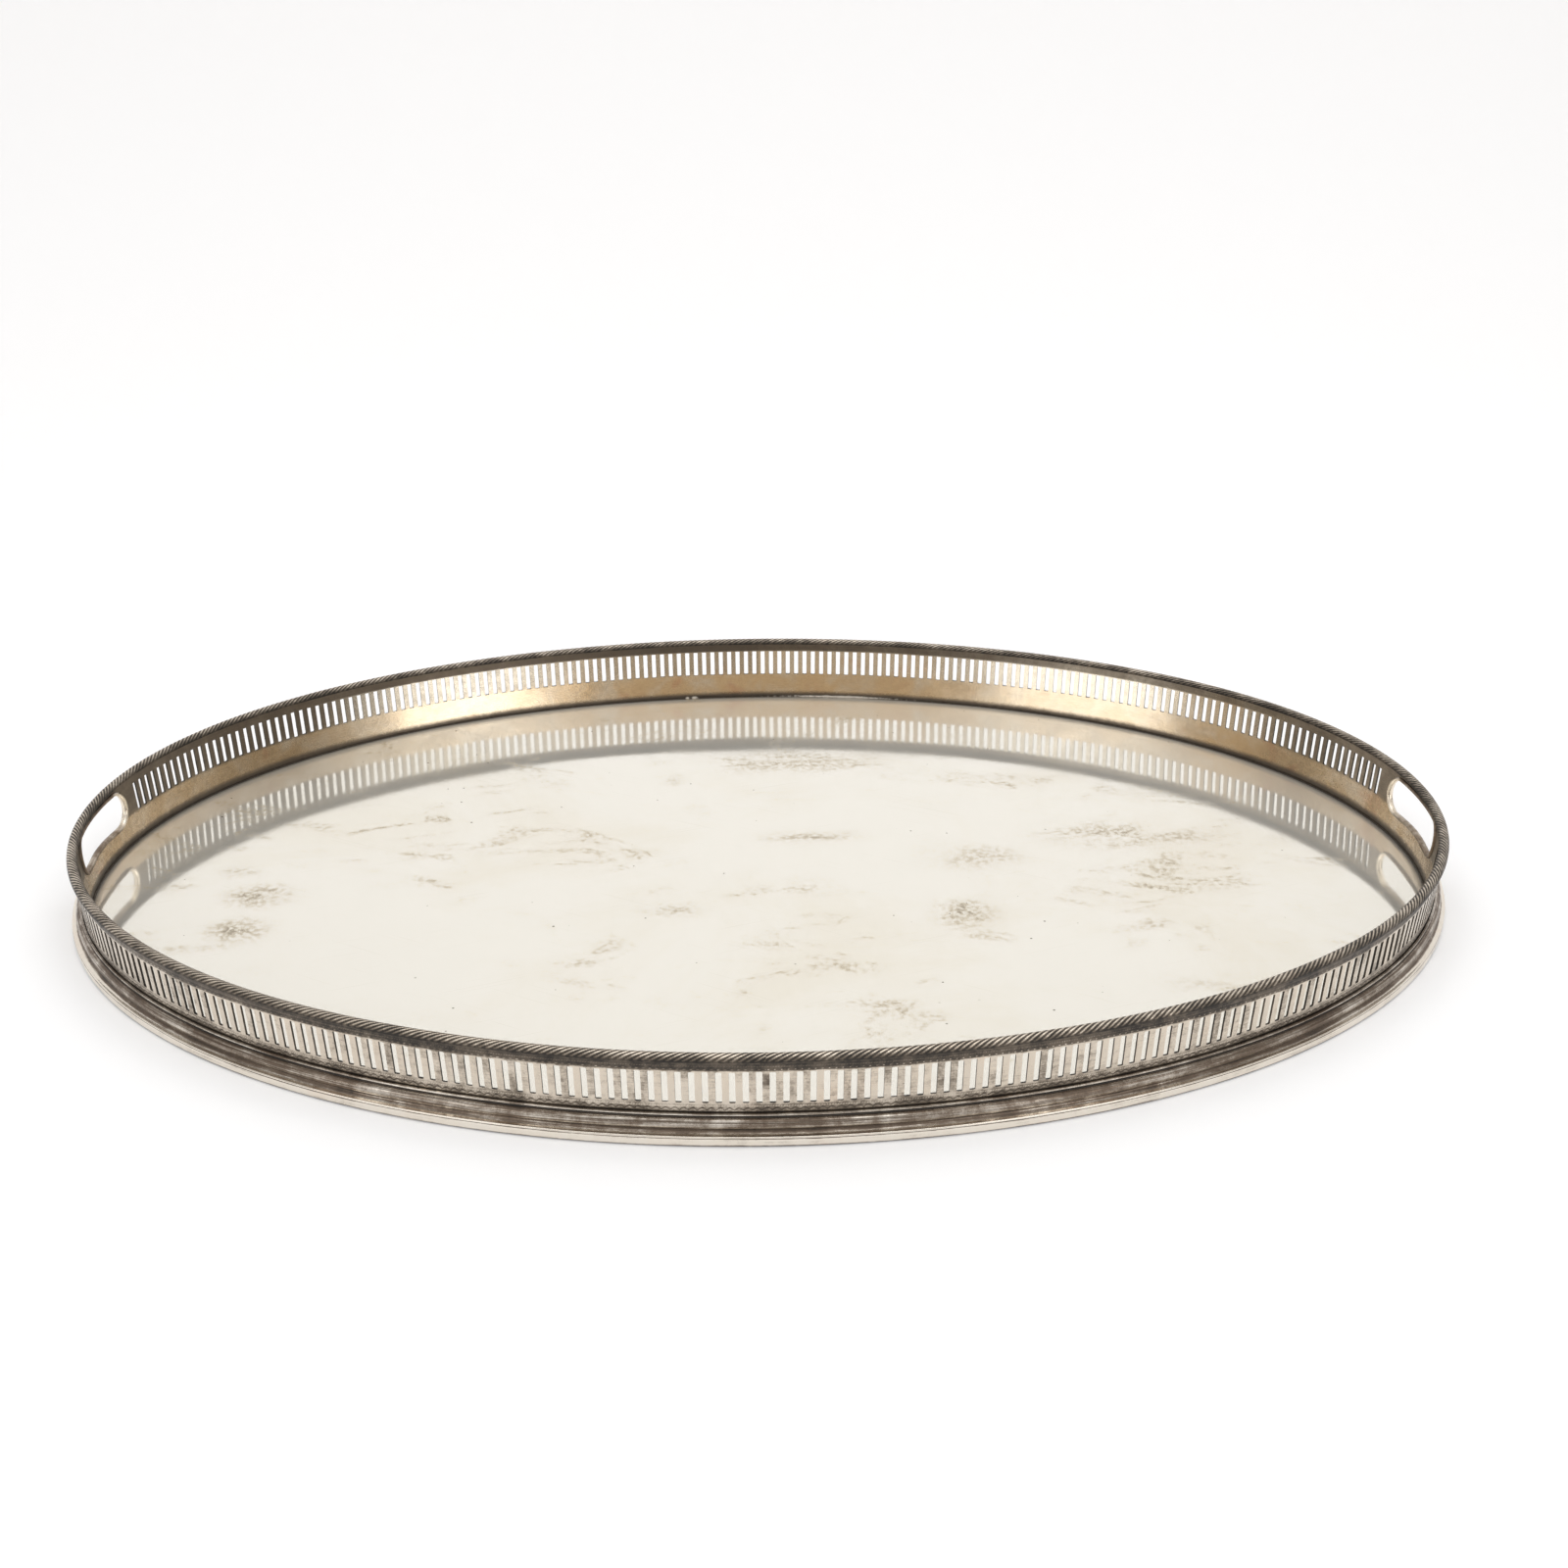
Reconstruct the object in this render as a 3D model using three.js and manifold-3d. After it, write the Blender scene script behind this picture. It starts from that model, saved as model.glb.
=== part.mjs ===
// An oval dressing-table tray in silver-plated metal: a flat plate inside a pierced gallery wall, a
// gadroon border on top, a stepped foot moulding outside and a bound hand hole at each end.
//
// Millimetres, +Z up. The long axis is X, the front is -Y and the tray rests on z = 0.
// Each ring is two halves with their seams at the front and back centre. A half is drawn straight,
// as an extrusion of its cross-section, and then bent round the oval. Cross-sections are drawn in
// (out, height): "out" is the distance outside the oval that runs under the middle of the border.

import * as THREE from 'three';
import { mergeVertices } from 'three/addons/utils/BufferGeometryUtils.js';
import Module from 'manifold-3d';

const wasm = await Module();
wasm.setup();

// ---------- driving dimensions ----------

const LENGTH = 600;
const WIDTH = 424;
const HEIGHT = 35;
const FOOT_OUT = 4.75; // how far the foot stands outside the oval
const CLEARANCE = 0.3; // between neighbouring pieces, filled with solder on the real tray

const wall = {
  thickness: 1.05,
  bottom: 0.6,
  top: 32.1,
  middle: 21.3, // the height at which outerAtMiddle is measured
  outerAtMiddle: 0.18,
  lean: 0.07, // outward travel for each millimetre of height
};

const slots = {
  perQuarter: 78,
  perPanel: 3, // slots between two bends of the wall
  pitch: 4.62,
  width: 2.2,
  bottom: 14.8,
  top: 27.8,
};

const handHole = {
  halfLength: 28.5,
  endRadius: 7.4,
  top: 28.4,
  bottomAtMiddle: 14.2, // the lower edge rises a little in the middle
  bendsAcross: 8,
};

const edgeWire = {
  halfWidth: 1.05, // in the plane of the wall
  halfDepth: 1.5, // through the wall
  stepsAround: 48,
  sectionSides: 6,
};

const border = {
  halfWidth: 2.2,
  bottom: 32.4,
  shoulder: 32.8,
};

const plate = {
  thickness: 1.1,
  top: 1.9,
};

// ---------- the oval ----------

const semiLength = LENGTH / 2 - FOOT_OUT;
const semiWidth = WIDTH / 2 - FOOT_OUT;
const BACK_CENTRE = Math.PI / 2;
const FRONT_CENTRE = -Math.PI / 2;

// The right half, from the back centre round the +X end to the front centre.
const halfOval = new THREE.EllipseCurve(0, 0, semiLength, semiWidth, BACK_CENTRE, FRONT_CENTRE, true);
halfOval.arcLengthDivisions = 2000;
const halfLength = halfOval.getLength();

// The point that lies "along" millimetres round the half oval and "out" millimetres outside it.
function ovalPoint(along, out) {
  const angle = BACK_CENTRE - Math.PI * halfOval.getUtoTmapping(along / halfLength);
  const normal = new THREE.Vector2(Math.cos(angle) / semiLength, Math.sin(angle) / semiWidth);
  normal.setLength(out);
  return new THREE.Vector2(semiLength * Math.cos(angle), semiWidth * Math.sin(angle)).add(normal);
}

// Where the sheet is bent: between every few slots, and evenly across the plain part by the hole.
function bendPlaces() {
  const panel = slots.perPanel * slots.pitch;
  const panels = slots.perQuarter / slots.perPanel;
  const holeZone = halfLength - 2 * panels * panel;
  const places = [];
  for (let i = 0; i < panels; i += 1) {
    places.push(i * panel);
  }
  for (let i = 0; i <= handHole.bendsAcross; i += 1) {
    places.push(panels * panel + (holeZone * i) / handHole.bendsAcross);
  }
  for (let i = panels - 1; i >= 0; i -= 1) {
    places.push(halfLength - i * panel);
  }
  places[0] += CLEARANCE / 2;
  places[places.length - 1] -= CLEARANCE / 2;
  return places;
}

const bends = bendPlaces();

// ---------- helpers ----------

// Extrudes a cross-section with one step for each bend, then bends it round the half oval.
function bentHalf(section, curveSegments) {
  const steps = bends.length - 1;
  const options = { depth: steps, steps, curveSegments, bevelEnabled: false };
  const geometry = new THREE.ExtrudeGeometry(section, options);
  const position = geometry.attributes.position;
  for (let i = 0; i < position.count; i += 1) {
    const place = ovalPoint(bends[Math.round(position.getZ(i))], position.getX(i));
    position.setXYZ(i, place.x, place.y, position.getY(i));
  }
  return geometry;
}

function toSolid(geometry) {
  const bare = geometry.clone();
  bare.deleteAttribute('normal');
  bare.deleteAttribute('uv');
  const merged = mergeVertices(bare);
  const vertProperties = new Float32Array(merged.attributes.position.array);
  const triVerts = new Uint32Array(merged.index.array);
  return new wasm.Manifold(new wasm.Mesh({ numProp: 3, vertProperties, triVerts }));
}

function toGeometry(solid) {
  const mesh = solid.getMesh();
  const geometry = new THREE.BufferGeometry();
  geometry.setAttribute('position', new THREE.BufferAttribute(mesh.vertProperties, 3));
  geometry.setIndex(new THREE.BufferAttribute(mesh.triVerts, 1));
  geometry.computeVertexNormals();
  return geometry;
}

function wallOuter(height) {
  return wall.outerAtMiddle + wall.lean * (height - wall.middle);
}

function wallInner(height) {
  return wallOuter(height) - wall.thickness;
}

// ---------- gallery strip ----------

function wallSection() {
  const section = new THREE.Shape();
  section.moveTo(wallInner(wall.bottom), wall.bottom);
  section.lineTo(wallOuter(wall.bottom), wall.bottom);
  section.lineTo(wallOuter(wall.top), wall.top);
  section.lineTo(wallInner(wall.top), wall.top);
  section.closePath();
  return section;
}

// A block that punches one slot, square to the flat panel that it goes through.
function slotPunch(along) {
  const last = bends.findIndex((place) => place > along);
  const from = ovalPoint(bends[last - 1], 0);
  const to = ovalPoint(bends[last], 0);
  const centre = from.clone().lerp(to, (along - bends[last - 1]) / (bends[last] - bends[last - 1]));
  const reach = 8 * wall.thickness;
  const punch = new THREE.BoxGeometry(slots.width, reach, slots.top - slots.bottom);
  punch.rotateZ(Math.atan2(to.y - from.y, to.x - from.x));
  punch.translate(centre.x, centre.y, (slots.top + slots.bottom) / 2);
  return toSolid(punch);
}

// The long rounded outline of the hand hole in (distance from its middle, height), grown all round.
function holeOutline(grow) {
  const endCentre = handHole.halfLength - handHole.endRadius;
  const endHeight = handHole.top - handHole.endRadius;
  const radius = handHole.endRadius + grow;
  const middle = handHole.bottomAtMiddle - grow;
  const reach = endCentre / 2;
  const outline = new THREE.Shape();
  outline.moveTo(-endCentre, endHeight + radius);
  outline.absarc(-endCentre, endHeight, radius, Math.PI / 2, (3 * Math.PI) / 2, false);
  outline.bezierCurveTo(-reach, endHeight - radius, -reach, middle, 0, middle);
  outline.bezierCurveTo(reach, middle, reach, endHeight - radius, endCentre, endHeight - radius);
  outline.absarc(endCentre, endHeight, radius, -Math.PI / 2, Math.PI / 2, false);
  outline.closePath();
  return outline;
}

// A plug in the shape of the hole, bent like the wall that it is punched through.
function holePunch() {
  const reach = 6 * wall.thickness;
  const outline = holeOutline(2 * edgeWire.halfWidth + CLEARANCE);
  const options = { depth: 2 * reach, steps: 1, curveSegments: 8, bevelEnabled: false };
  const plug = new THREE.ExtrudeGeometry(outline, options);
  const position = plug.attributes.position;
  for (let i = 0; i < position.count; i += 1) {
    const place = ovalPoint(halfLength / 2 - position.getX(i), position.getZ(i) - reach);
    position.setXYZ(i, place.x, place.y, position.getY(i));
  }
  return toSolid(plug);
}

function galleryStrip() {
  const punches = [holePunch()];
  for (let i = 0; i < slots.perQuarter; i += 1) {
    const along = (i + 0.5) * slots.pitch;
    punches.push(slotPunch(along));
    punches.push(slotPunch(halfLength - along));
  }
  const strip = toSolid(bentHalf(wallSection(), 1));
  return toGeometry(wasm.Manifold.difference([strip, ...punches]));
}

// ---------- hand hole edge ----------

// A half-hard wire soldered round the cut edge of the hand hole. It is a torus laid on the outline
// of the hole: the angle round the torus picks the place, and its section is kept as it is.
function handleEdgeWire() {
  const { halfWidth, halfDepth, stepsAround, sectionSides } = edgeWire;
  const path = holeOutline(halfWidth).getSpacedPoints(stepsAround);
  const ringRadius = 10 * halfWidth;
  const ring = new THREE.TorusGeometry(ringRadius, halfWidth, sectionSides, stepsAround);
  const position = ring.attributes.position;
  for (let i = 0; i < position.count; i += 1) {
    const turn = Math.atan2(position.getY(i), position.getX(i)) / (2 * Math.PI);
    const step = (Math.round(turn * stepsAround) + stepsAround) % stepsAround;
    const before = path[(step + stepsAround - 1) % stepsAround];
    const after = path[(step + 1) % stepsAround];
    const outward = new THREE.Vector2(after.y - before.y, before.x - after.x).normalize();
    const offset = Math.hypot(position.getX(i), position.getY(i)) - ringRadius;
    const flat = path[step].clone().addScaledVector(outward, offset);
    const depth = (position.getZ(i) * halfDepth) / halfWidth;
    const out = wallOuter(flat.y) - wall.thickness / 2 + depth;
    const place = ovalPoint(halfLength / 2 - flat.x, out);
    position.setXYZ(i, place.x, place.y, flat.y);
  }
  return ring;
}

// ---------- gadroon border ----------

// A half-round wire that caps the wall; its flat side is down.
function borderSection() {
  const section = new THREE.Shape();
  section.moveTo(-border.halfWidth, border.bottom);
  section.lineTo(border.halfWidth, border.bottom);
  section.lineTo(border.halfWidth, border.shoulder);
  const rise = HEIGHT - border.shoulder;
  section.absellipse(0, border.shoulder, border.halfWidth, rise, 0, Math.PI, false, 0);
  section.closePath();
  return section;
}

// ---------- foot moulding ----------

// From the seat against the wall: a fillet, a groove, an ovolo, a second groove, a cove, a ledge
// and the upright band that stands on the table.
function footSection() {
  const top = 10.8;
  const ledge = 4.15;
  const section = new THREE.Shape();
  section.moveTo(wallOuter(0) + CLEARANCE, 0);
  section.lineTo(3.5, 0);
  section.quadraticCurveTo(FOOT_OUT, 0.2, FOOT_OUT, 1.3);
  section.lineTo(FOOT_OUT, ledge - 0.3);
  section.lineTo(FOOT_OUT - 0.4, ledge);
  section.lineTo(3.5, ledge);
  section.quadraticCurveTo(2.1, ledge + 0.3, 1.8, 5.6);
  section.lineTo(2.2, 6.1);
  section.quadraticCurveTo(2.9, 8.6, 1.1, 9.3);
  section.lineTo(0.6, 9.4);
  section.lineTo(0.6, top);
  section.lineTo(wallOuter(top) + CLEARANCE, top);
  section.closePath();
  return section;
}

// ---------- plate ----------

function plateSheet() {
  const bottom = plate.top - plate.thickness;
  const edge = wallInner(bottom) - CLEARANCE;
  const rightSide = bends.map((along) => ovalPoint(along, edge));
  const leftSide = rightSide.map((point) => point.clone().negate());
  const outline = new THREE.Shape([...rightSide, ...leftSide]);
  const sheet = new THREE.ExtrudeGeometry(outline, { depth: plate.thickness, bevelEnabled: false });
  sheet.translate(0, 0, bottom);
  return sheet;
}

// ---------- assembly ----------

const silver = { metalness: 1 };
const finishes = {
  polished: { ...silver, color: 0xe6dfd0, roughness: 0.16 },
  pierced: { ...silver, color: 0xb3a68c, roughness: 0.3 },
  rounded: { ...silver, color: 0x8d8273, roughness: 0.35 },
  moulded: { ...silver, color: 0xa1947f, roughness: 0.28 },
  bound: { ...silver, color: 0xcfc4ab, roughness: 0.2 },
};

const tray = new THREE.Group();

function addPiece(name, geometry, finish, turn = 0) {
  const mesh = new THREE.Mesh(geometry, new THREE.MeshStandardMaterial(finish));
  mesh.name = name;
  mesh.rotation.z = turn;
  tray.add(mesh);
}

// The oval looks the same after half a turn, so the left half of each ring is the right half turned.
function addBothHalves(name, geometry, finish) {
  addPiece(`${name}_right`, geometry, finish);
  addPiece(`${name}_left`, geometry.clone(), finish, Math.PI);
}

addPiece('tray_plate', plateSheet(), finishes.polished);
addBothHalves('gallery_strip', galleryStrip(), finishes.pierced);
addBothHalves('handle_edge_wire', handleEdgeWire(), finishes.bound);
addBothHalves('gadroon_border', bentHalf(borderSection(), 4), finishes.rounded);
addBothHalves('foot_moulding', bentHalf(footSection(), 2), finishes.moulded);

export default tray;
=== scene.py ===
"""The looks of an oval dressing-table tray in worn silver plate: a polished plate inside a pierced
gallery wall, a gadroon border, a stepped foot moulding and a bound hand hole at each end.

Lengths named here are millimetres; meshes are scaled to metres when they are made. The long axis
is X and the front is -Y. Each ring is a right and a left half, which meet at seams closed with
solder. A point on a half is given by the distance "along" it from its first seam, the distance
"out" from the oval that runs under the middle of the border, and its height. The left half is the
right half turned half a turn.
"""

import math

import bpy
import numpy as np
from mathutils import Matrix, Vector


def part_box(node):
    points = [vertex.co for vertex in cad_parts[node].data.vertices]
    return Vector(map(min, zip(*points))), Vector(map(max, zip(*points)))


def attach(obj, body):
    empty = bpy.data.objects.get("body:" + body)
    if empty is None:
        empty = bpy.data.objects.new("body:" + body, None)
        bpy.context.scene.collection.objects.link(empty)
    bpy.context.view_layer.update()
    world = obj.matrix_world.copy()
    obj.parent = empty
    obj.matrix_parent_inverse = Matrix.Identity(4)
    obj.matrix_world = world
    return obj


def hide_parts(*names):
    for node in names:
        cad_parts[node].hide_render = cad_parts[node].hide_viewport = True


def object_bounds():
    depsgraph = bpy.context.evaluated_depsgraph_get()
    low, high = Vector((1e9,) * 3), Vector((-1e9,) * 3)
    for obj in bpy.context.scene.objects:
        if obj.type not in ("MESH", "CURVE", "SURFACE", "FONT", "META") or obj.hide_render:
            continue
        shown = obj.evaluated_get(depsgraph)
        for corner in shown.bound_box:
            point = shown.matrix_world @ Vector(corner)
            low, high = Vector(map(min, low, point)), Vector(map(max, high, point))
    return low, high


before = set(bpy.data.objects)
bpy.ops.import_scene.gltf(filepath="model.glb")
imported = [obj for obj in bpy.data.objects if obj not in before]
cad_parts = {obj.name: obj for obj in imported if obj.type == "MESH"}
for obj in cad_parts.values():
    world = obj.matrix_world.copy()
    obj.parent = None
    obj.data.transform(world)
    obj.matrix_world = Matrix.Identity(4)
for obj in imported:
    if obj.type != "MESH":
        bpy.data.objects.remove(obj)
cad_low, cad_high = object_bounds()

MM = 0.001
ROOT = "root"


def box_mm(node):
    """The lowest and highest corner of a CAD node in millimetres."""
    low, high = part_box(node)
    return np.array(low) / MM, np.array(high) / MM


# ---------- sizes, from the CAD boxes and the dimensions that the boxes do not show ----------

foot_low, foot_high = box_mm("foot_moulding_right")
wall_low, wall_high = box_mm("gallery_strip_right")
border_low, border_high = box_mm("gadroon_border_right")
plate_low, plate_high = box_mm("tray_plate")
wire_low, wire_high = box_mm("handle_edge_wire_right")

FOOT_OUT = 4.75
CLEARANCE = 0.3
WALL_THICKNESS = 1.05
WALL_MIDDLE = 21.3
WALL_OUT_AT_MIDDLE = 0.18
WALL_LEAN = 0.07
SLOTS_PER_QUARTER = 78
SLOT_PITCH = 4.62
SLOT_WIDTH = 2.2
SLOT_BOTTOM = 14.8
SLOT_TOP = 27.8
WIRE_HALF_WIDTH = 1.05
WIRE_HALF_DEPTH = 1.5
HOLE_HALF_LENGTH = 28.5
HOLE_END_RADIUS = 7.4
HOLE_DIP = 0.6
BORDER_HALF_WIDTH = 2.2

semi_length = cad_high.x / MM - FOOT_OUT
semi_width = cad_high.y / MM - FOOT_OUT
wall_bottom, wall_top = wall_low[2], wall_high[2]
foot_top = foot_high[2]
plate_bottom, plate_top = plate_low[2], plate_high[2]
border_bottom, border_top = border_low[2], border_high[2]
hole_top = wire_high[2] - 2 * WIRE_HALF_WIDTH
hole_bottom = wire_low[2] + 2 * WIRE_HALF_WIDTH

# ---------- the oval ----------

FINE_STEPS = 40000
fine_angles = np.linspace(math.pi / 2, -math.pi / 2, FINE_STEPS + 1)
fine_points = np.stack([semi_length * np.cos(fine_angles), semi_width * np.sin(fine_angles)], axis=1)
fine_lengths = np.concatenate([[0], np.cumsum(np.linalg.norm(np.diff(fine_points, axis=0), axis=1))])
half_length = fine_lengths[-1]


def oval_points(along, out, height):
    """Points in millimetres on the right half."""
    along, out, height = np.broadcast_arrays(along, out, height)
    angle = np.interp(along, fine_lengths, fine_angles)
    normal = np.stack([np.cos(angle) / semi_length, np.sin(angle) / semi_width], axis=-1)
    normal /= np.linalg.norm(normal, axis=-1, keepdims=True)
    x = semi_length * np.cos(angle) + out * normal[..., 0]
    y = semi_width * np.sin(angle) + out * normal[..., 1]
    return np.stack([x, y, height], axis=-1)


def wall_outer(height):
    return WALL_OUT_AT_MIDDLE + WALL_LEAN * (height - WALL_MIDDLE)


def wall_inner(height):
    return wall_outer(height) - WALL_THICKNESS


def ripple(along, across, seed, longest, shortest, count=14):
    """A smooth uneven value from about -1 to 1: waves of many lengths (mm) and directions."""
    random = np.random.default_rng(seed)
    total = np.zeros(np.broadcast(along, across).shape)
    weight = 0.0
    for _ in range(count):
        wavelength = longest * (shortest / longest) ** random.random()
        turn = random.random() * math.pi
        phase = random.random() * 2 * math.pi
        size = wavelength**0.5
        wave = (np.cos(turn) * along + np.sin(turn) * across) * 2 * math.pi / wavelength
        total = total + size * np.sin(wave + phase)
        weight += size**2 / 2
    return total / (2 * math.sqrt(weight))


def ripple_round(along, height, seed, longest, shortest):
    """The same, but continuous from one half of a ring to the other."""
    place = oval_points(along, 0, height)
    x, y, z = place[..., 0], place[..., 1], place[..., 2]
    return ripple(x + 0.8 * z, y - 0.6 * z, seed, longest, shortest)


def smooth(value, start, end):
    """0 before start, 1 after end, and a smooth rise between them."""
    t = np.clip((value - start) / (end - start), 0, 1)
    return t * t * (3 - 2 * t)


# ---------- mesh helpers ----------


class Shape:
    """Vertices with their fields, and faces, collected before a mesh is made of them."""

    def __init__(self):
        self.points = []
        self.fields = []
        self.faces = []
        self.count = 0

    def add_points(self, points, along, dirt_and_painted_light=0.0, warm=0.0, inner=0.0):
        """Adds a block of points and returns their numbers in the same layout."""
        shape = points.shape[:-1]
        layers = [np.broadcast_to(np.asarray(f, float), shape) for f in (along, dirt_and_painted_light, warm, inner)]
        self.points.append(points.reshape(-1, 3))
        self.fields.append(np.stack(layers, axis=-1).reshape(-1, 4))
        numbers = self.count + np.arange(points[..., 0].size).reshape(shape)
        self.count += numbers.size
        return numbers

    def add_quads(self, a, b, c, d, cut=0.0):
        """Quads from four blocks of corners; cut is 1 on the sawn edges of the pierced wall."""
        quads = np.stack([np.ravel(a), np.ravel(b), np.ravel(c), np.ravel(d)], axis=1)
        self.faces.append((quads.size // 4, 4, quads.ravel(), cut))

    def add_polygon(self, numbers):
        numbers = np.asarray(numbers)
        self.faces.append((1, numbers.size, numbers, 0.0))

    def add_sheet(self, numbers, flip=False, keep=None):
        """Quads over a grid of point numbers, where keep is true."""
        corners = [numbers[:-1, :-1], numbers[1:, :-1], numbers[1:, 1:], numbers[:-1, 1:]]
        if flip:
            corners.reverse()
        if keep is not None:
            corners = [corner[keep] for corner in corners]
        self.add_quads(*corners)

    def make(self, name, turned=False):
        points = np.concatenate(self.points) * MM
        fields = np.concatenate(self.fields)
        if turned:
            points = points * np.array([-1, -1, 1])
        loops = np.concatenate([loop for _, _, loop, _ in self.faces]).astype(np.int32)
        sizes = np.concatenate([np.full(n, size) for n, size, _, _ in self.faces])
        cuts = np.concatenate([np.full(n, cut) for n, _, _, cut in self.faces]).astype(np.float32)
        starts = np.concatenate([[0], np.cumsum(sizes)[:-1]]).astype(np.int32)
        mesh = bpy.data.meshes.new(name)
        mesh.vertices.add(len(points))
        mesh.vertices.foreach_set("co", points.astype(np.float32).ravel())
        mesh.loops.add(len(loops))
        mesh.loops.foreach_set("vertex_index", loops)
        mesh.polygons.add(len(starts))
        mesh.polygons.foreach_set("loop_start", starts)
        mesh.update(calc_edges=True)
        mesh.validate()
        mesh.attributes.new("cut", "FLOAT", "FACE").data.foreach_set("value", cuts)
        before = half_length * MM if turned else 0.0
        strip = np.stack([fields[:, 0] * MM + before, points[:, 2]], axis=1)
        strip = np.concatenate([strip, fields[:, 3:4]], axis=1).astype(np.float32)
        mesh.attributes.new("strip", "FLOAT_VECTOR", "POINT").data.foreach_set("vector", strip.ravel())
        # this field holds tarnish and also painted highlights and a painted contact shadow
        for column, title in ((1, "dirt_and_painted_light"), (2, "warm")):
            values = fields[:, column].astype(np.float32)
            mesh.attributes.new(title, "FLOAT", "POINT").data.foreach_set("value", values)
        return mesh


def show(mesh, nodes, material, sharp=38):
    """Puts a mesh in the scene as a piece that stands for CAD nodes."""
    mesh.shade_smooth()
    mesh.set_sharp_from_angle(angle=math.radians(sharp))
    mesh.materials.append(material)
    piece = bpy.data.objects.new(mesh.name, mesh)
    bpy.context.scene.collection.objects.link(piece)
    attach(piece, ROOT)
    if nodes:
        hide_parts(*nodes)
    return piece


def show_halves(name, shape, material, sharp=38):
    for side, turned in (("right", False), ("left", True)):
        mesh = shape[side].make(f"{name}_{side}_worn", turned)
        show(mesh, [f"{name}_{side}"], material, sharp)


# ---------- hand hole outline ----------


def bezier(start, first, second, end, steps):
    t = np.linspace(0, 1, steps + 1)[:-1, None]
    start, first, second, end = (np.array(p, float) for p in (start, first, second, end))
    return (1 - t) ** 3 * start + 3 * (1 - t) ** 2 * t * first + 3 * (1 - t) * t**2 * second + t**3 * end


def arc(centre, radius, start, end, steps):
    angle = np.linspace(start, end, steps + 1)[:-1]
    return np.stack([centre[0] + radius * np.cos(angle), centre[1] + radius * np.sin(angle)], axis=1)


def hole_outline(grow, count):
    """The long rounded outline of a hand hole, grown all round, as evenly spaced (across, height)."""
    end_centre = HOLE_HALF_LENGTH - HOLE_END_RADIUS
    end_height = hole_top - HOLE_END_RADIUS
    radius = HOLE_END_RADIUS + grow
    low = end_height - radius
    middle = hole_bottom + HOLE_DIP - grow
    reach = end_centre / 2
    path = np.concatenate(
        [
            arc((-end_centre, end_height), radius, math.pi / 2, 3 * math.pi / 2, 40),
            bezier((-end_centre, low), (-reach, low), (-reach, middle), (0, middle), 40),
            bezier((0, middle), (reach, middle), (reach, low), (end_centre, low), 40),
            arc((end_centre, end_height), radius, -math.pi / 2, math.pi / 2, 40),
            [[end_centre, end_height + radius], [-end_centre, end_height + radius]],
        ]
    )
    length = np.concatenate([[0], np.cumsum(np.linalg.norm(np.diff(path, axis=0), axis=1))])
    places = np.linspace(0, length[-1], count, endpoint=False)
    return np.stack([np.interp(places, length, path[:, i]) for i in (0, 1)], axis=1)


def inside(points, outline):
    """Which points lie inside a closed outline."""
    hits = np.zeros(points.shape[:-1], bool)
    before = np.roll(outline, 1, axis=0)
    for (ax, ay), (bx, by) in zip(before, outline):
        if ay == by:
            continue
        crosses = (points[..., 1] < ay) != (points[..., 1] < by)
        meet = ax + (points[..., 1] - ay) * (bx - ax) / (by - ay)
        hits ^= crosses & (points[..., 0] < meet)
    return hits


# ---------- gallery ----------

DOT_ROW = 28.8
DOT_DEPTH = 0.2
FINE_DOT_ROW = 13.5
FINE_DOT_DEPTH = 0.1
WRIGGLE_MIDDLE = 12.1
WRIGGLE_HALF_HEIGHT = 0.5
WRIGGLE_PERIOD = SLOT_PITCH * 0.68
WRIGGLE_DEPTH = 0.16
UPPER_LINE = 30.1
UPPER_LINE_DEPTH = 0.08
SLAT_CELLS = 5
PLAIN_COLUMNS = 150  # on the plain stretch round the hand hole
WALL_RIPPLE = 0.12  # how far the wall wanders from its true oval
SAW_SHAKE = 0.035  # how far a slot's sides wander
SLOT_END_SHIFT = 0.16  # how far a slot's ends differ from slot to slot
CORNER_CUT = 0.15  # how much a slot's corners are rounded
BURN_HALF_WIDTH = 1.3  # the patch left by the torch at the front seam


def gallery_columns():
    """Distances along the half: slot edges always fall on a column."""
    centres = (np.arange(SLOTS_PER_QUARTER) + 0.5) * SLOT_PITCH
    across = np.linspace(-0.5, 0.5, SLAT_CELLS + 1)
    in_slots = (centres[:, None] + across * SLOT_WIDTH).ravel()
    in_slats = centres[:-1, None] + SLOT_PITCH / 2 + across[1:-1] * (SLOT_PITCH - SLOT_WIDTH)
    at_seam = np.linspace(0, centres[0] - SLOT_WIDTH / 2, 4)[:-1]
    quarter = np.sort(np.concatenate([at_seam, in_slots, in_slats.ravel()]))
    plain = np.linspace(quarter[-1], half_length - quarter[-1], PLAIN_COLUMNS)[1:-1]
    return np.concatenate([quarter, plain, half_length - quarter[::-1]])


def gallery_rows(outer):
    """Heights of the grid; the rows that the slots and the hand hole cross are on both sides."""
    shared = [SLOT_BOTTOM - 0.6, SLOT_BOTTOM]
    shared += list(np.linspace(SLOT_BOTTOM + 0.3, SLOT_TOP - 0.3, 9))
    shared += [SLOT_TOP, SLOT_TOP + 0.4, DOT_ROW - 0.25]
    if not outer:
        below = [wall_bottom, plate_top, plate_top + 0.7, 6.0, foot_top, 12.4, 13.3]
        above = [DOT_ROW + 0.25, UPPER_LINE, 31.2, wall_top]
        return np.array(below + shared + above)
    below = [wall_bottom, plate_top, 6.0, foot_top, foot_top + 0.4]
    below += list(WRIGGLE_MIDDLE + np.linspace(-0.7, 0.7, 7))
    below += [FINE_DOT_ROW - 0.25, FINE_DOT_ROW, FINE_DOT_ROW + 0.25]
    above = [DOT_ROW, DOT_ROW + 0.25, DOT_ROW + 0.65]
    above += list(UPPER_LINE + np.linspace(-0.25, 0.25, 3)) + [31.0, wall_top]
    return np.array(below + shared + above)


def near_line(distance, half_width):
    return np.clip(1 - np.abs(distance) / half_width, 0, 1)


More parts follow.
